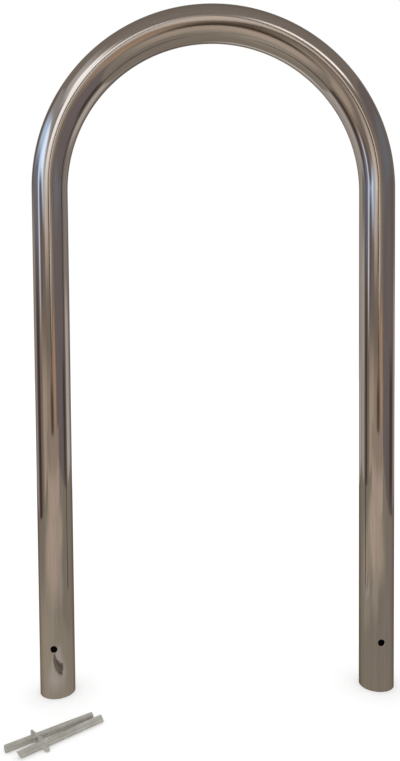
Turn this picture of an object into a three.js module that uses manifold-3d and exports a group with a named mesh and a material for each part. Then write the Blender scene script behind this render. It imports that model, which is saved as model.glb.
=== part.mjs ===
// Hoop bike rack: one stainless tube bent to an upturned U, and the two loose anchor bars that are
// pushed through its legs before the root is cast in concrete.
// Millimetres, +Z up. X runs across the hoop and Y from front to back. The origin lies midway
// between the two legs, at the height of their feet.

import * as THREE from 'three';
import { mergeVertices } from 'three/addons/utils/BufferGeometryUtils.js';
import Module from 'manifold-3d';

// Driving dimensions of the hoop
const TUBE_DIAMETER = 50.8;
const TUBE_WALL = 1.6;
const LEG_SPACING = 475;
const STRAIGHT_LEG = 732;
const CROSS_HOLE_HEIGHT = 73;

// Driving dimensions of the anchor bars
const BAR_DIAMETER = 9.5;
const BAR_LENGTH = 120;
const BAR_TO_HOLE_CLEARANCE = 0.3;

// Pinch that presses a pair of ears out of each bar, so that it can't slide right through the leg
const EAR_REACH = 13;
const EAR_FOOT_WIDTH = 9.5;
const EAR_THICKNESS = 2.4;
const DENT_DEPTH = 1.5;
const DENT_RADIUS = 6.5;

// Places of the loose bars on the ground in front of the left leg, each at the middle of its bar.
// The rear bar is sawn square and the front one at a slant: its cuts' shares say how far each end
// runs along the bar for the way across it and up it.
const REAR_BAR = {
  x: -225.2, y: -111.9, headingDegrees: 35.2, earFromEnd: 39, earTipWidth: 2.2,
  nearCutShares: [0, 0], farCutShares: [0, 0],
};
const FRONT_BAR = {
  x: -207.7, y: -121.3, headingDegrees: 39.6, earFromEnd: 33.4, earTipWidth: 4.4,
  nearCutShares: [0, -0.58], farCutShares: [0.2, -0.4],
};

// How far a cutting shape runs past the faces that it cuts
const CUT_OVERRUN = 3;

// Fineness of the round shapes, in counts
const TUBE_SIDES = 48;
const BEND_STEPS = 40;
const HOLE_SIDES = 32;
const BAR_SIDES = 32;

const BEND_RADIUS = LEG_SPACING / 2;
const TUBE_RADIUS = TUBE_DIAMETER / 2;
const BAR_RADIUS = BAR_DIAMETER / 2;

const wasm = await Module();
wasm.setup();

// A closed three.js geometry as a solid that can be joined and cut
function solid(geometry) {
  const bare = geometry.clone();
  bare.deleteAttribute('normal');
  bare.deleteAttribute('uv');
  const merged = mergeVertices(bare);
  return new wasm.Manifold(new wasm.Mesh({
    numProp: 3,
    vertProperties: new Float32Array(merged.attributes.position.array),
    triVerts: new Uint32Array(merged.index.array),
  }));
}

// The finished solid as a geometry with flat-shaded faces
function geometryOf(body) {
  const mesh = body.getMesh();
  const geometry = new THREE.BufferGeometry();
  geometry.setAttribute('position', new THREE.BufferAttribute(mesh.vertProperties, 3));
  geometry.setIndex(new THREE.BufferAttribute(mesh.triVerts, 1));
  const faceted = geometry.toNonIndexed();
  faceted.computeVertexNormals();
  return faceted;
}

// Centre line of the hoop: up the left leg, round the half circle and down the right leg.
// Each leg is one step, and the bend takes the rest in equal angles.
class HoopLine extends THREE.Curve {
  getPoint(t, target = new THREE.Vector3()) {
    const station = t * (BEND_STEPS + 2);
    if (station < 1) {
      return target.set(-BEND_RADIUS, 0, STRAIGHT_LEG * station);
    }
    if (station > BEND_STEPS + 1) {
      return target.set(BEND_RADIUS, 0, STRAIGHT_LEG * (BEND_STEPS + 2 - station));
    }
    const angle = this.bendAngle(station);
    return target.set(-BEND_RADIUS * Math.cos(angle), 0, STRAIGHT_LEG + BEND_RADIUS * Math.sin(angle));
  }

  getTangent(t, target = new THREE.Vector3()) {
    const angle = this.bendAngle(t * (BEND_STEPS + 2));
    return target.set(Math.sin(angle), 0, Math.cos(angle));
  }

  getUtoTmapping(u) {
    return u;
  }

  bendAngle(station) {
    return Math.PI * THREE.MathUtils.clamp((station - 1) / BEND_STEPS, 0, 1);
  }
}

// The hoop: a round tube, open at both feet, with a cross-hole from front to back through each leg
function hoopTube() {
  const section = new THREE.Shape();
  section.absarc(0, 0, TUBE_RADIUS, 0, 2 * Math.PI);
  const bore = new THREE.Path();
  bore.absarc(0, 0, TUBE_RADIUS - TUBE_WALL, 0, 2 * Math.PI);
  section.holes.push(bore);
  const bent = new THREE.ExtrudeGeometry(section, {
    steps: BEND_STEPS + 2,
    curveSegments: TUBE_SIDES / 2,
    extrudePath: new HoopLine(),
    bevelEnabled: false,
  });
  const holeRadius = (BAR_DIAMETER + BAR_TO_HOLE_CLEARANCE) / 2;
  const drillLength = TUBE_DIAMETER + 2 * CUT_OVERRUN;
  let tube = solid(bent);
  for (const side of [-1, 1]) {
    const drill = new THREE.CylinderGeometry(holeRadius, holeRadius, drillLength, HOLE_SIDES);
    drill.translate(side * LEG_SPACING / 2, 0, CROSS_HOLE_HEIGHT);
    tube = tube.subtract(solid(drill));
  }
  return geometryOf(tube);
}

// Outline of both ears in one plate, across the bar
function earOutline(tipWidth) {
  const foot = EAR_FOOT_WIDTH / 2;
  const tip = tipWidth / 2;
  return new THREE.Shape([
    new THREE.Vector2(-foot, 0),
    new THREE.Vector2(-tip, -EAR_REACH),
    new THREE.Vector2(tip, -EAR_REACH),
    new THREE.Vector2(foot, 0),
    new THREE.Vector2(tip, EAR_REACH),
    new THREE.Vector2(-tip, EAR_REACH),
  ]);
}

// A round rod along X with one end sawn off: side is -1 for its near end and 1 for its far end
function sawn(rod, side, [across, up]) {
  const plane = new THREE.Plane(new THREE.Vector3(-side, side * across, side * up), BAR_LENGTH / 2).normalize();
  return rod.trimByPlane(plane.normal.toArray(), -plane.constant);
}

// An anchor bar along X, round its middle: the press dents it from both sides and the metal goes out
// sideways into two flat ears
function anchorBar({ earFromEnd, earTipWidth, nearCutShares, farCutShares }) {
  const earPlace = earFromEnd - BAR_LENGTH / 2;
  const rod = new THREE.CylinderGeometry(BAR_RADIUS, BAR_RADIUS, BAR_LENGTH + 2 * CUT_OVERRUN, BAR_SIDES);
  rod.rotateZ(Math.PI / 2);
  let bar = sawn(sawn(solid(rod), -1, nearCutShares), 1, farCutShares);
  for (const face of [-1, 1]) {
    const dentLength = BAR_DIAMETER + 2 * CUT_OVERRUN;
    const dent = new THREE.CylinderGeometry(DENT_RADIUS, DENT_RADIUS, dentLength, HOLE_SIDES);
    dent.translate(earPlace, 0, face * (BAR_RADIUS - DENT_DEPTH + DENT_RADIUS));
    bar = bar.subtract(solid(dent));
  }
  const ears = new THREE.ExtrudeGeometry(earOutline(earTipWidth), { depth: EAR_THICKNESS, bevelEnabled: false });
  ears.translate(earPlace, 0, -EAR_THICKNESS / 2);
  return geometryOf(bar.add(solid(ears)));
}

const polishedSteel = new THREE.MeshStandardMaterial({ color: 0x8f8880, roughness: 0.22, metalness: 1 });
const satinSteel = new THREE.MeshStandardMaterial({ color: 0xa9a59c, roughness: 0.45, metalness: 1 });

const rack = new THREE.Group();

const hoop = new THREE.Mesh(hoopTube(), polishedSteel);
hoop.name = 'hoop_tube';
rack.add(hoop);

// Each bar lies on the ground, rolled forward until the tip of its front ear touches down
const earTilt = Math.asin((BAR_RADIUS - EAR_THICKNESS / 2) / EAR_REACH);

function layBar(name, place) {
  const bar = new THREE.Mesh(anchorBar(place), satinSteel);
  bar.name = name;
  bar.position.set(place.x, place.y, BAR_RADIUS);
  bar.rotation.set(earTilt, 0, THREE.MathUtils.degToRad(place.headingDegrees), 'ZYX');
  rack.add(bar);
}

layBar('anchor_bar_rear', REAR_BAR);
layBar('anchor_bar_front', FRONT_BAR);

export default rack;
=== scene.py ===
from math import asin, cos, pi, radians, sin, sqrt

import bmesh
import bpy
from mathutils import Matrix, Vector


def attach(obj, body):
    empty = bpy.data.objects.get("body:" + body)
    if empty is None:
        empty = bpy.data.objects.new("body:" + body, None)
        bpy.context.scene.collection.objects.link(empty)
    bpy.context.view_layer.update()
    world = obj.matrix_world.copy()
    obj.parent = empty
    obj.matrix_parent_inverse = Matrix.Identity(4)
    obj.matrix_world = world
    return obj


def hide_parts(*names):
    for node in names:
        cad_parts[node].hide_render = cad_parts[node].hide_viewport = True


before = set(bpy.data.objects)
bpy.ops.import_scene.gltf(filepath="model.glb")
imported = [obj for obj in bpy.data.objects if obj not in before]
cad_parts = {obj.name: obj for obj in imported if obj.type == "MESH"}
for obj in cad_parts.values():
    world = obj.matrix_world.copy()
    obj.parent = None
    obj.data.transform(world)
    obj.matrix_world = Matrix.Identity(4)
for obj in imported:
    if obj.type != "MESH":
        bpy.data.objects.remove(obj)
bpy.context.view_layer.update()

scene = bpy.context.scene


# Camera. It stands level with the middle of the hoop and 0.92 m in front of it, almost square to its
# plane. Its place, its turn and its lens were solved on the outline of the tube in the photograph.
IMAGE_HEIGHT_PIXELS = 761
FOCAL_LENGTH_PIXELS = 629.38
SENSOR_HEIGHT = 36.0
CAMERA_PLACE = Vector((-0.04664, -0.92100, 0.49084))
CAMERA_TURN_RIGHT = 0.0254
CAMERA_TILT_DOWN = 0.0364
CAMERA_ROLL = -0.0084
NEAREST_SEEN = 0.01

ahead = Vector((
    sin(CAMERA_TURN_RIGHT) * cos(CAMERA_TILT_DOWN),
    cos(CAMERA_TURN_RIGHT) * cos(CAMERA_TILT_DOWN),
    -sin(CAMERA_TILT_DOWN),
))
level_right = Vector((cos(CAMERA_TURN_RIGHT), -sin(CAMERA_TURN_RIGHT), 0))
level_up = level_right.cross(ahead)
right = cos(CAMERA_ROLL) * level_right + sin(CAMERA_ROLL) * level_up
up = cos(CAMERA_ROLL) * level_up - sin(CAMERA_ROLL) * level_right

camera = bpy.data.objects.new("camera", bpy.data.cameras.new("camera"))
camera.data.sensor_fit = "VERTICAL"
camera.data.sensor_height = SENSOR_HEIGHT
camera.data.lens = SENSOR_HEIGHT * FOCAL_LENGTH_PIXELS / IMAGE_HEIGHT_PIXELS
camera.data.clip_start = NEAREST_SEEN
turn = Matrix((right, up, -ahead)).transposed()
camera.matrix_world = Matrix.Translation(CAMERA_PLACE) @ turn.to_4x4()
scene.collection.objects.link(camera)
scene.camera = camera
scene.view_settings.view_transform = "Standard"


# Hoop. One length of 50.8 mm stainless tube, polished lengthwise, bent to a half circle with both legs
# left straight, cut square and deburred at the feet, and drilled from front to back through each leg.
# It is laid out here as a flat sheet of the tube's wall, drilled, then rolled up and bent.
TUBE_RADIUS = 0.0254
TUBE_WALL = 0.0016
BEND_RADIUS = 0.2375
STRAIGHT_LEG = 0.732
CROSS_HOLE_RADIUS = 0.0049
CROSS_HOLE_HEIGHT = 0.073
HOLE_CHAMFER = 0.0008
FOOT_CHAMFER = 0.0004
EDGE_SEGMENTS = 3
SIDES = 120
HOLE_CELLS = 10
LEG_CELL = 0.02
BEND_CELLS = 120
SEAM_ANGLE = pi / 2
CORNER_ANGLE = radians(60)
SHORT = 0.00001

bend_length = pi * BEND_RADIUS
tube_length = 2 * STRAIGHT_LEG + bend_length
cell_width = 2 * pi * TUBE_RADIUS / SIDES
hole_places = [
    (angle * TUBE_RADIUS, height)
    for angle in (0, -pi)
    for height in (CROSS_HOLE_HEIGHT, tube_length - CROSS_HOLE_HEIGHT)
]


def evenly(start, end, cells):
    """Where cells of one length start, from start up to end."""
    return [start + (end - start) * cell / cells for cell in range(cells)]


def leg_rows():
    """Heights of the rows of faces on a leg, close together round the cross-hole."""
    low = CROSS_HOLE_HEIGHT - cell_width * HOLE_CELLS / 2
    high = CROSS_HOLE_HEIGHT + cell_width * HOLE_CELLS / 2
    heights = evenly(0, low, round(low / LEG_CELL))
    heights += evenly(low, high, HOLE_CELLS)
    return heights + evenly(high, STRAIGHT_LEG, round((STRAIGHT_LEG - high) / LEG_CELL))


def rolled(point):
    """Where a point of the flat wall comes to lie: x goes round the tube, y along it and z out of it."""
    angle = point.x / TUBE_RADIUS
    bent = min(max((point.y - STRAIGHT_LEG) / BEND_RADIUS, 0), pi)
    straight = point.y - STRAIGHT_LEG - bent * BEND_RADIUS
    inwards = Vector((cos(bent), 0, -sin(bent)))
    along = Vector((sin(bent), 0, cos(bent)))
    centre = Vector((0, 0, STRAIGHT_LEG)) - BEND_RADIUS * inwards + straight * along
    return centre + (TUBE_RADIUS + point.z) * (cos(angle) * Vector((0, -1, 0)) + sin(angle) * inwards)


rows = leg_rows() + evenly(STRAIGHT_LEG, STRAIGHT_LEG + bend_length, BEND_CELLS)
rows += [tube_length - height for height in reversed(leg_rows() + [STRAIGHT_LEG])]
row_cells = len(rows) - 1
sheet_start = SEAM_ANGLE * TUBE_RADIUS - cell_width * SIDES

# The sheet starts as a square of side 1 round the origin, with as many faces as it needs both ways
wall = bmesh.new()
bmesh.ops.create_grid(wall, x_segments=SIDES, y_segments=row_cells, size=0.5)
for vert in wall.verts:
    column = round((vert.co.x + 0.5) * SIDES)
    row = round((vert.co.y + 0.5) * row_cells)
    vert.co = (sheet_start + column * cell_width, rows[row], 0)

# Each cross-hole: a square of faces comes out, and its edge is drawn in to the circle of the drill
for across, height in hole_places:
    reach = cell_width * HOLE_CELLS / 2
    square = [
        face for face in wall.faces
        if abs(face.calc_center_median().x - across) < reach
        and abs(face.calc_center_median().y - height) < reach
    ]
    touched = {vert for face in square for vert in face.verts}
    bmesh.ops.delete(wall, geom=square, context="FACES")
    for vert in touched:
        if vert.is_valid:
            away = Vector((vert.co.x - across, vert.co.y - height)).normalized() * CROSS_HOLE_RADIUS
            vert.co = (across + TUBE_RADIUS * asin(away.x / TUBE_RADIUS), height + away.y, 0)

bmesh.ops.solidify(wall, geom=wall.faces[:], thickness=TUBE_WALL)
sheet_ends = (sheet_start, SEAM_ANGLE * TUBE_RADIUS)
seam = [
    face for face in wall.faces
    if any(all(abs(vert.co.x - end) < SHORT for vert in face.verts) for end in sheet_ends)
]
bmesh.ops.delete(wall, geom=seam, context="FACES_ONLY")
wall.normal_update()


def is_corner(edge):
    """Whether an edge is where the wall's outer or inner face meets a foot or a drilled hole."""
    return len(edge.link_faces) == 2 and abs(edge.calc_face_angle(0)) > CORNER_ANGLE


def at_foot(edge):
    return all(min(vert.co.y, tube_length - vert.co.y) < SHORT for vert in edge.verts)


corners = [edge for edge in wall.edges if is_corner(edge)]
feet = [edge for edge in corners if at_foot(edge)]
rims = [edge for edge in corners if not at_foot(edge) and all(vert.co.z > -SHORT for vert in edge.verts)]
for edges, width in ((feet, FOOT_CHAMFER), (rims, HOLE_CHAMFER)):
    bmesh.ops.bevel(
        wall, geom=edges, offset=width, affect="EDGES", segments=EDGE_SEGMENTS, profile=0.5, material=-1
    )
wall.normal_update()

# The bore keeps its mill finish, and its colour is painted near black as the shade inside the tube. Only
# the outer face is polished.
POLISHED, BORE_MILL_AND_SHADE = 0, 1
sheet = wall.loops.layers.uv.new("sheet")
for face in wall.faces:
    face.material_index = BORE_MILL_AND_SHADE if face.calc_center_median().z < -HOLE_CHAMFER else POLISHED
    face.smooth = True
    for loop in face.loops:
        loop[sheet].uv = loop.vert.co.xy
for edge in wall.edges:
    levels = [abs(face.normal.z) > 1 - SHORT for face in edge.link_faces]
    edge.smooth = len(levels) < 2 or levels[0] == levels[1]
for vert in wall.verts:
    vert.co = rolled(vert.co)
bmesh.ops.remove_doubles(wall, verts=wall.verts[:], dist=SHORT)


def piece_from(name, shape, materials, body, node):
    """One finished piece, in place of its plain solid."""
    mesh = bpy.data.meshes.new(name)
    shape.to_mesh(mesh)
    shape.free()
    for material in materials:
        mesh.materials.append(material)
    piece = bpy.data.objects.new(name, mesh)
    scene.collection.objects.link(piece)
    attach(piece, body)
    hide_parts(node)
    return piece


class Wire:
    """The output of a shader node. Arithmetic on it adds the Math nodes."""

    def __init__(self, tree, socket):
        self.tree = tree
        self.socket = socket

    def add(self, kind, settings=(), inputs=(), output=0):
        """Any node: its settings are made first, then its sockets get their values or links."""
        node = self.tree.nodes.new(kind)
        for name, value in dict(settings).items():
            setattr(node, name, value)
        for name, value in dict(inputs).items():
            if isinstance(value, Wire):
                self.tree.links.new(value.socket, node.inputs[name])
            else:
                node.inputs[name].default_value = value
        return Wire(self.tree, node.outputs[output] if node.outputs else None)

    def math(self, operation, *values):
        return self.add("ShaderNodeMath", {"operation": operation}, dict(enumerate(values)))

    def __add__(self, other):
        return self.math("ADD", self, other)

    def __radd__(self, other):
        return self.math("ADD", other, self)

    def __sub__(self, other):
        return self.math("SUBTRACT", self, other)

    def __rsub__(self, other):
        return self.math("SUBTRACT", other, self)

    def __mul__(self, other):
        return self.math("MULTIPLY", self, other)

    def __rmul__(self, other):
        return self.math("MULTIPLY", other, self)

    def __truediv__(self, other):
        return self.math("DIVIDE", self, other)

    def clamped(self, low, high, start=0.0, end=1.0):
        """start below low, end above high, and an even change between them."""
        ends = {"From Min": low, "From Max": high, "To Min": start, "To Max": end}
        return self.add("ShaderNodeMapRange", {}, {"Value": self, **ends})

    def colours(self, dark, light):
        """A colour that goes from dark at 0 to light at 1."""
        # The Mix node's socket 0 is the factor, 6 and 7 are its colours, and output 2 is the mixed one
        ends = [end if isinstance(end, Wire) else (*end, 1) for end in (dark, light)]
        return self.add("ShaderNodeMix", {"data_type": "RGBA"}, {0: self, 6: ends[0], 7: ends[1]}, 2)


def bare_material(name):
    """A material with its output and nothing else, as a wire that nodes can be added from."""
    material = bpy.data.materials.new(name)
    material.use_nodes = True
    material.node_tree.nodes.clear()
    return material, Wire(material.node_tree, None)


SPECULAR_LEVEL = 0.2


def finish_steel(start, colour, grazing, roughness, bump, bump_height, metal=1.0):
    """Steel on the material's output. Grazing is how strongly it mirrors along its surface."""
    normal = start.add("ShaderNodeBump", {}, {"Height": bump, "Distance": bump_height})
    inputs = {"Base Color": colour, "Metallic": metal, "Roughness": roughness, "Normal": normal}
    inputs["Specular Tint"] = (*grazing, 1)
    inputs["Specular IOR Level"] = SPECULAR_LEVEL
    surface = start.add("ShaderNodeBsdfPrincipled", {}, inputs)
    start.add("ShaderNodeOutputMaterial", {}, {"Surface": surface})


# Nearly all of a noise's values lie in this range
NOISE_RANGE = (0.3, 0.7)
POLISH_STRETCH = 0.02
POLISH_LINES = {"Scale": 900.0, "Detail": 3.0}
POLISH_BANDS = {"Scale": 160.0, "Detail": 2.0}
LINES_IN_COLOUR = 0.5
LINES_IN_ROUGHNESS = 0.4
LINE_DEPTH = 0.00001
POLISH_DARK = (0.265, 0.226, 0.195)
POLISH_LIGHT = (0.340, 0.295, 0.258)
POLISH_GRAZING = (0.45, 0.41, 0.37)
POLISH_ROUGHNESS = (0.04, 0.08)

# The bend is dulled round its top, and less and less between these two shares of its length from there
BEND_DULLING = 0.07
DULLED_SHARES = (0.15, 0.4)

polished, start = bare_material("polished_stainless")
uv = start.add("ShaderNodeUVMap", {"uv_map": "sheet"})
across = start.add("ShaderNodeSeparateXYZ", {}, {0: uv}, 0) / TUBE_RADIUS
along = start.add("ShaderNodeSeparateXYZ", {}, {0: uv}, 1)
place = start.add("ShaderNodeCombineXYZ", {}, {
    0: start.math("COSINE", across) * TUBE_RADIUS,
    1: start.math("SINE", across) * TUBE_RADIUS,
    2: along * POLISH_STRETCH,
})
lines = start.add("ShaderNodeTexNoise", {}, {"Vector": place, **POLISH_LINES})
bands = start.add("ShaderNodeTexNoise", {}, {"Vector": place, **POLISH_BANDS})
streaks = lines * LINES_IN_COLOUR + bands * (1 - LINES_IN_COLOUR)
colour = streaks.clamped(*NOISE_RANGE).colours(POLISH_DARK, POLISH_LIGHT)
from_top = start.math("ABSOLUTE", along - tube_length / 2) / bend_length
dulled = from_top.clamped(*DULLED_SHARES, BEND_DULLING, 0)
scratches = lines * LINES_IN_ROUGHNESS + bands * (1 - LINES_IN_ROUGHNESS)
roughness = scratches.clamped(*NOISE_RANGE, *POLISH_ROUGHNESS) + dulled
finish_steel(start, colour, POLISH_GRAZING, roughness, lines, LINE_DEPTH)

# Painted shade: the bore's colour is near black for the dark inside of the tube. Its grain, roughness and
# bump are its mill finish.
BORE_PAINTED_SHADE_DARK = (0.05, 0.045, 0.04)
BORE_PAINTED_SHADE_LIGHT = (0.09, 0.08, 0.07)
MILL_GRAIN = {"Scale": 500.0, "Detail": 3.0}
MILL_ROUGHNESS = (0.35, 0.5)
MILL_GRAIN_DEPTH = 0.00003

bore_mill_and_painted_shade, start = bare_material("mill_finish_and_painted_shade_bore")
place = start.add("ShaderNodeTexCoord", {}, {}, "Object")
grain = start.add("ShaderNodeTexNoise", {}, {"Vector": place, **MILL_GRAIN})
colour = grain.colours(BORE_PAINTED_SHADE_DARK, BORE_PAINTED_SHADE_LIGHT)
roughness = grain.clamped(*NOISE_RANGE, *MILL_ROUGHNESS)
finish_steel(start, colour, POLISH_GRAZING, roughness, grain, MILL_GRAIN_DEPTH)

piece_from("bent_tube", wall, [polished, bore_mill_and_painted_shade], "hoop", "hoop_tube")


# Anchor bars. Two short bars of satin stainless rod lie loose on the ground. A press has pinched each
# one from two sides near one end, and the metal has gone out sideways into a pair of pointed ears.
# They go through the cross-holes to hold the hoop in its concrete.
BAR_RADIUS = 0.00475
BAR_LENGTH = 0.11995  # a little less than the 120 mm of the solid, so that its ends stay inside it
BAR_SIDES = 48
DENT_DEPTH = 0.0018
DENT_RADIUS = 0.0055
EAR_REACH = 0.013
EAR_THICKNESS = 0.0024
END_ROUNDING = 0.0005
SLANTED_END = 0.003
PINCH_ROWS = (0.0, 0.0016, 0.0032, 0.0047, 0.0062, 0.0085)
EAR_HALF_FOOT = 0.0047
EAR_STEPS = (0.0062, 0.0092, 0.0130)
SMOOTHING = 2
FACING = 0.9
CUT_TOLERANCE = 0.0000001
REAR_BAR = {
    "place": (-0.2252, -0.1119),
    "heading": 35.2,
    "ear_from_end": 0.0390,
    "ear_tip": 0.0022,
    "near_cut": (0, 0),
    "far_cut": (0, 0),
}
FRONT_BAR = {
    "place": (-0.2077, -0.1213),
    "heading": 39.6,
    "ear_from_end": 0.0334,
    "ear_tip": 0.0044,
    "near_cut": (0, -0.58),
    "far_cut": (0.2, -0.4),
}

ear_tilt = asin((BAR_RADIUS - EAR_THICKNESS / 2) / EAR_REACH)


def cut_ring(shape, place):
    everything = shape.verts[:] + shape.edges[:] + shape.faces[:]
    bmesh.ops.bisect_plane(
        shape, geom=everything, plane_co=(place, 0, 0), plane_no=(1, 0, 0), dist=CUT_TOLERANCE
    )


def anchor_bar(ear_from_end, ear_tip, near_cut, far_cut):
    """A pinched bar along X, round its middle. A cut says how its end slants across the bar and up it."""
    bar = bmesh.new()
    bmesh.ops.create_cone(
        bar, cap_ends=True, segments=BAR_SIDES, depth=BAR_LENGTH,
        radius1=BAR_RADIUS, radius2=BAR_RADIUS,
    )
    bmesh.ops.rotate(bar, verts=bar.verts[:], cent=(0, 0, 0), matrix=Matrix.Rotation(pi / 2, 3, "Y"))
    pinch = ear_from_end - BAR_LENGTH / 2
    for row in PINCH_ROWS:
        for place in {pinch - row, pinch + row}:
            cut_ring(bar, place)
    ends = [face for face in bar.faces if abs(face.normal.x) > FACING]
    for end in (-1, 1):
        cut_ring(bar, end * (BAR_LENGTH / 2 - END_ROUNDING))
        cut_ring(bar, end * (BAR_LENGTH / 2 - SLANTED_END))
    bmesh.ops.inset_individual(bar, faces=ends, thickness=END_ROUNDING)
    for vert in bar.verts:
        if abs(vert.co.x) > BAR_LENGTH / 2 - SLANTED_END - SHORT:
            across, up = near_cut if vert.co.x < 0 else far_cut
            vert.co.x += across * vert.co.y + up * vert.co.z
        off = vert.co.x - pinch
        if abs(off) < DENT_RADIUS:
            height = BAR_RADIUS - DENT_DEPTH + DENT_RADIUS - sqrt(DENT_RADIUS ** 2 - off ** 2)
            vert.co.z = max(-height, min(height, vert.co.z))
    for side in (-1, 1):
        bar.normal_update()
        root = [
            face for face in bar.faces
            if face.normal.y * side > FACING
            and abs(face.calc_center_median().x - pinch) < EAR_HALF_FOOT
            and abs(face.calc_center_median().z) < EAR_THICKNESS / 2
        ]
        half_width = EAR_HALF_FOOT
        for reach in EAR_STEPS:
            narrowed = EAR_HALF_FOOT + (ear_tip / 2 - EAR_HALF_FOOT) * reach / EAR_REACH
            grown = bmesh.ops.extrude_face_region(bar, geom=root)["geom"]
            bmesh.ops.delete(bar, geom=root, context="FACES_ONLY")
            root = [part for part in grown if isinstance(part, bmesh.types.BMFace)]
            for vert in {vert for face in root for vert in face.verts}:
                vert.co.x = pinch + (vert.co.x - pinch) * narrowed / half_width
                vert.co.y = side * reach
            half_width = narrowed
    for face in bar.faces:
        face.smooth = True
    bmesh.ops.recalc_face_normals(bar, faces=bar.faces[:])
    return bar


SATIN_DARK = (0.38, 0.365, 0.32)
SATIN_LIGHT = (0.56, 0.54, 0.48)
SATIN_GRAZING = (0.05, 0.05, 0.04)
SATIN_METAL = 0.4
SATIN_GRAIN = {"Scale": 700.0, "Detail": 4.0}
SATIN_PATCHES = {"Scale": 90.0, "Detail": 2.0}
GRAIN_IN_COLOUR = 0.4
SATIN_ROUGHNESS = (0.28, 0.40)
SATIN_GRAIN_DEPTH = 0.00004

satin, start = bare_material("satin_steel")
place = start.add("ShaderNodeTexCoord", {}, {}, "Object")
grain = start.add("ShaderNodeTexNoise", {}, {"Vector": place, **SATIN_GRAIN})
patches = start.add("ShaderNodeTexNoise", {}, {"Vector": place, **SATIN_PATCHES})
mottle = grain * GRAIN_IN_COLOUR + patches * (1 - GRAIN_IN_COLOUR)
colour = mottle.clamped(*NOISE_RANGE).colours(SATIN_DARK, SATIN_LIGHT)
roughness = grain.clamped(*NOISE_RANGE, *SATIN_ROUGHNESS)
finish_steel(start, colour, SATIN_GRAZING, roughness, grain, SATIN_GRAIN_DEPTH, metal=SATIN_METAL)

for name, bar in (("rear", REAR_BAR), ("front", FRONT_BAR)):
    shape = anchor_bar(bar["ear_from_end"], bar["ear_tip"], bar["near_cut"], bar["far_cut"])
    lie = Matrix.Translation((*bar["place"], BAR_RADIUS)) @ Matrix.Rotation(radians(bar["heading"]), 4, "Z")
    shape.transform(lie @ Matrix.Rotation(ear_tilt, 4, "X"))
    body, node = f"{name}_bar", f"anchor_bar_{name}"
    piece = piece_from(f"pinched_bar_{name}", shape, [satin], body, node)
    smooth = piece.modifiers.new("smooth", "SUBSURF")
    smooth.levels = smooth.render_levels = SMOOTHING


# Floor and studio. A plain pale floor runs out to a white studio. Round the hoop stands a room with
# soft lights and shades on its walls, which only the metal sees. It gives the polished tube its streaks.
FLOOR_HALF_WIDTH = 12.0
FLOOR_DROP = 0.0002
SCREEN_DROP = 0.0001
FLOOR_GREY = (0.8, 0.8, 0.8, 1)
FLOOR_GLOW = 0.3
WHITE = (1, 1, 1, 1)


def stage_piece(name, shape, materials):
    mesh = bpy.data.meshes.new(name)
    shape.to_mesh(mesh)
    shape.free()
    for material in materials:
        mesh.materials.append(material)
    stage = bpy.data.objects.new(name, mesh)
    scene.collection.objects.link(stage)
    return stage


pale, start = bare_material("pale_floor")
matt = start.add("ShaderNodeBsdfDiffuse", {}, {"Color": FLOOR_GREY})
seen = start.add("ShaderNodeLightPath", {}, {}, "Is Camera Ray")
mirrored = start.add("ShaderNodeLightPath", {}, {}, "Is Glossy Ray")
through = start.add("ShaderNodeLightPath", {}, {}, "Is Transmission Ray")
strength = (seen + mirrored + through) * FLOOR_GLOW
glow = start.add("ShaderNodeEmission", {}, {"Color": WHITE, "Strength": strength})
both = start.add("ShaderNodeAddShader", {}, {0: matt, 1: glow})
start.add("ShaderNodeOutputMaterial", {}, {"Surface": both})

shape = bmesh.new()
bmesh.ops.create_grid(shape, x_segments=1, y_segments=1, size=FLOOR_HALF_WIDTH)
bmesh.ops.translate(shape, verts=shape.verts[:], vec=(0, 0, -FLOOR_DROP))
stage_piece("floor", shape, [pale])

world = bpy.data.worlds.new("studio")
world.use_nodes = True
world.node_tree.nodes.clear()
world.cycles.sampling_method = "NONE"
scene.world = world
start = Wire(world.node_tree, None)
white = start.add("ShaderNodeBackground", {}, {"Color": WHITE, "Strength": 1.0})
start.add("ShaderNodeOutputWorld", {}, {"Surface": white})


def inside(distance, width, softness):
    """1 within a strip of that width, and smoothly down to 0 over its soft edge."""
    ends = {"From Min": (width + softness) / 2, "From Max": (width - softness) / 2}
    away = distance.math("ABSOLUTE", distance)
    return away.add("ShaderNodeMapRange", {"interpolation_type": "SMOOTHSTEP"}, {"Value": away, **ends})


ROOM_LOW = Vector((-1.3, -2.4, -SCREEN_DROP))
ROOM_HIGH = Vector((1.3, 1.5, 2.0))

# The ground cloth is clear round the bars, so that the leg mirrors the floor there with their shadow
BARS_PLACE = (-0.218, -0.117)
BARS_GAP = (0.15, 0.13)
BARS_GAP_SOFTNESS = 0.06

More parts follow.
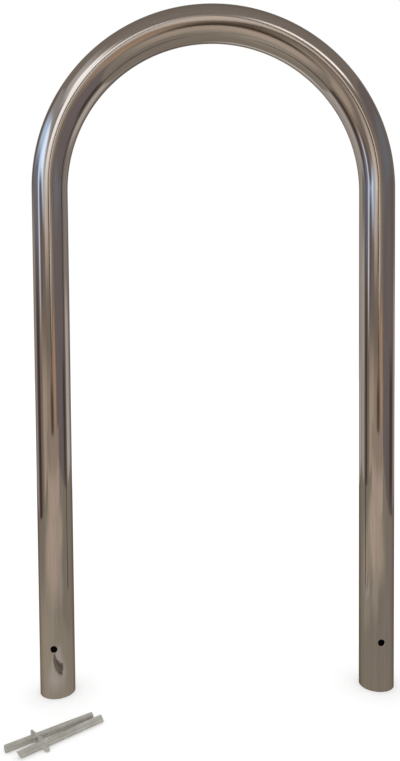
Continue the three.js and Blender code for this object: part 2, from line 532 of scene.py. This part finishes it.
# Every light or shade: its middle, its width and height, its soft edges along both, then its colour
LEFT_WALL = (1.05, 1.08, 1.14)
LEFT_LIGHTS = (
    ((-1.10, 0.50), (2.90, 1.40), (0.20, 0.20), (0.52, 0.45, 0.39)),  # shade over most of the wall
    ((-1.50, 0.15), (1.60, 0.70), (0.40, 0.40), (1.00, 0.92, 0.83)),  # glow along the floor
    ((-0.80, 2.10), (3.00, 1.00), (0.50, 0.50), (0.75, 0.78, 0.85)),  # wall over the window
    ((0.60, 1.50), (0.80, 1.00), (0.20, 0.30), (0.45, 0.44, 0.45)),  # shade beside the window
    ((-0.90, 1.38), (2.20, 0.50), (0.80, 0.25), (1.30, 1.90, 2.90)),  # blue light round the window
    ((-1.10, 1.45), (0.90, 0.40), (0.40, 0.20), (2.40, 3.10, 4.10)),  # window
    ((-0.10, 1.05), (0.60, 0.50), (0.30, 0.30), (0.42, 0.52, 0.78)),  # blue dusk beside the hoop
    ((-1.05, 0.95), (0.40, 0.50), (0.15, 0.20), (0.34, 0.33, 0.38)),  # grey shade beside the slit lamp
    ((-0.55, 1.00), (0.20, 0.70), (0.15, 0.40), (1.80, 2.20, 3.00)),  # slit lamp
    ((-0.05, 0.25), (0.45, 1.00), (0.25, 0.50), (0.15, 0.13, 0.14)),  # black flag beside the hoop
)
RIGHT_WALL = (0.41, 0.38, 0.42)
RIGHT_LIGHTS = (
    ((-0.90, 1.35), (2.40, 0.50), (0.40, 0.20), (0.43, 0.48, 0.58)),  # blue-grey upper part
    ((1.20, 0.90), (1.60, 2.60), (0.30, 0.20), (0.68, 0.68, 0.70)),  # lit part behind the hoop
    ((1.20, 0.35), (1.60, 0.80), (0.30, 0.30), (1.25, 1.28, 1.32)),  # its brighter foot
    ((-0.10, 0.25), (0.50, 0.45), (0.20, 0.20), (0.17, 0.15, 0.14)),  # low flag beside the hoop
)
FRONT_WALL = (0.54, 0.48, 0.43)
FRONT_LIGHTS = (
    ((-0.85, 1.35), (1.00, 0.70), (0.35, 0.50), (1.50, 1.42, 1.35)),  # cream panel
    ((0.06, 1.20), (0.36, 1.00), (0.22, 0.40), (1.80, 1.71, 1.62)),  # middle panel
    ((-0.50, 1.80), (0.90, 0.70), (0.40, 0.50), (2.80, 3.00, 3.30)),  # end of the left strip lamp
    ((0.50, 1.10), (0.22, 0.50), (0.15, 0.30), (1.10, 1.05, 0.98)),  # narrow panel
    ((0.00, 0.18), (2.60, 0.50), (0.20, 0.30), (0.80, 0.71, 0.62)),  # glow along the floor
    ((0.72, 0.45), (0.60, 0.60), (0.30, 0.30), (1.05, 0.74, 0.52)),  # warm wooden panel
    ((-0.05, 0.15), (0.80, 0.45), (0.40, 0.25), (0.25, 0.20, 0.16)),  # dark skirting
    ((-0.06, 1.05), (0.16, 1.30), (0.05, 0.50), (0.03, 0.02, 0.01)),  # black post
)
BACK_WALL = (0.80, 0.81, 0.83)
BACK_LIGHTS = (
    ((-0.60, 0.70), (0.80, 1.60), (0.40, 0.40), (1.15, 1.20, 1.30)),  # tall panel
    ((-0.40, 0.15), (0.90, 0.60), (0.30, 0.30), (1.60, 1.70, 1.80)),  # its bright foot
    ((0.35, 1.00), (0.45, 1.40), (0.30, 0.40), (0.50, 0.48, 0.47)),  # grey shade beside it
)
CEILING = (0.54, 0.51, 0.49)
CEILING_LIGHTS = (
    ((-1.00, -1.30), (0.50, 1.40), (0.30, 0.60), (1.20, 1.25, 1.35)),  # light along the left side
    ((-0.72, -2.20), (0.45, 1.20), (0.20, 0.60), (3.20, 3.40, 3.60)),  # left strip lamp
    ((0.66, -2.20), (0.70, 0.95), (0.25, 0.30), (3.60, 3.75, 4.00)),  # right strip lamp
    ((0.00, 1.00), (2.60, 1.40), (0.20, 0.50), (0.72, 0.74, 0.76)),  # lit part behind the hoop
)
GROUND = (0.61, 0.585, 0.53)
GROUND_LIGHTS = (
    ((-0.50, -0.20), (0.70, 0.90), (0.40, 0.50), (0.84, 0.82, 0.73)),  # bright floor on the left
    ((-1.00, -0.05), (0.70, 0.40), (0.50, 0.30), (0.60, 0.57, 0.55)),  # dull floor on the left
    ((0.85, -0.05), (0.90, 0.45), (0.50, 0.30), (0.60, 0.58, 0.57)),  # dull floor on the right
    ((-0.10, -0.08), (0.20, 0.30), (0.10, 0.20), (0.73, 0.72, 0.65)),  # lit floor beside the bars
    ((0.07, -0.42), (0.25, 0.26), (0.14, 0.16), (0.84, 0.81, 0.75)),  # lit floor in the middle
    ((-0.15, -1.00), (1.50, 1.00), (0.50, 0.30), (1.03, 0.95, 0.86)),  # bright floor in front
    ((-0.35, -0.75), (0.70, 0.60), (0.30, 0.30), (1.16, 1.05, 0.95)),  # its brighter left part
    ((-0.15, -1.75), (1.30, 1.30), (0.60, 0.20), (0.13, 0.10, 0.07)),  # dark floor by the far wall
)


def screen_cloth(name, tone, lights, across, up, clear_round_bars=False):
    """A glowing cloth with soft lights and shades, one over another. Across and up are its own axes."""
    cloth, start = bare_material(name)
    cloth.cycles.emission_sampling = "NONE"
    place = start.add("ShaderNodeTexCoord", {}, {}, "Object")
    first, second = (start.add("ShaderNodeSeparateXYZ", {}, {0: place}, axis) for axis in (across, up))
    for middle, size, softness, colour in lights:
        sideways = inside(first - middle[0], size[0], softness[0])
        upwards = inside(second - middle[1], size[1], softness[1])
        tone = (sideways * upwards).colours(tone, colour)
    glow = start.add("ShaderNodeEmission", {}, {"Color": tone, "Strength": 1.0})
    if clear_round_bars:
        sideways = inside(first - BARS_PLACE[0], BARS_GAP[0], BARS_GAP_SOFTNESS)
        upwards = inside(second - BARS_PLACE[1], BARS_GAP[1], BARS_GAP_SOFTNESS)
        clear = start.add("ShaderNodeBsdfTransparent")
        glow = start.add("ShaderNodeMixShader", {}, {0: sideways * upwards, 1: glow, 2: clear})
    start.add("ShaderNodeOutputMaterial", {}, {"Surface": glow})
    return cloth


shape = bmesh.new()
bmesh.ops.create_cube(shape, size=1.0)
bmesh.ops.scale(shape, verts=shape.verts[:], vec=ROOM_HIGH - ROOM_LOW)
bmesh.ops.translate(shape, verts=shape.verts[:], vec=(ROOM_HIGH + ROOM_LOW) / 2)
shape.normal_update()
X, Y, Z = 0, 1, 2
walls = (
    (Vector((-1, 0, 0)), screen_cloth("screen_left", LEFT_WALL, LEFT_LIGHTS, Y, Z)),
    (Vector((1, 0, 0)), screen_cloth("screen_right", RIGHT_WALL, RIGHT_LIGHTS, Y, Z)),
    (Vector((0, -1, 0)), screen_cloth("screen_front", FRONT_WALL, FRONT_LIGHTS, X, Z)),
    (Vector((0, 1, 0)), screen_cloth("screen_back", BACK_WALL, BACK_LIGHTS, X, Z)),
    (Vector((0, 0, 1)), screen_cloth("screen_ceiling", CEILING, CEILING_LIGHTS, X, Y)),
    (Vector((0, 0, -1)), screen_cloth("screen_ground", GROUND, GROUND_LIGHTS, X, Y, clear_round_bars=True)),
)
for face in shape.faces:
    face.material_index = [outwards.dot(face.normal) > 0.5 for outwards, cloth in walls].index(True)
room = stage_piece("mirrored_room", shape, [cloth for outwards, cloth in walls])

# A low bright card hides the dark floor by the far wall from the legs. The bend sees that floor over it.
CARD_PLACE = Vector((-0.10, -1.05, 0.13))
CARD_SIZE = Vector((1.60, 1.0, 0.26))
CARD = (0.78, 0.70, 0.62)
CARD_LIGHTS = (
    ((-0.10, 0.05), (1.60, 0.16), (0.20, 0.10), (1.12, 1.01, 0.91)),  # its bright foot
)
shape = bmesh.new()
bmesh.ops.create_grid(shape, x_segments=1, y_segments=1, size=0.5)
bmesh.ops.rotate(shape, verts=shape.verts[:], cent=(0, 0, 0), matrix=Matrix.Rotation(pi / 2, 3, "X"))
bmesh.ops.scale(shape, verts=shape.verts[:], vec=CARD_SIZE)
bmesh.ops.translate(shape, verts=shape.verts[:], vec=CARD_PLACE)
card = stage_piece("reflector_card", shape, [screen_cloth("card", CARD, CARD_LIGHTS, X, Z)])

for screen in (room, card):
    screen.visible_camera = False
    screen.visible_diffuse = False
    screen.visible_transmission = False
    screen.visible_volume_scatter = False
    screen.visible_shadow = False
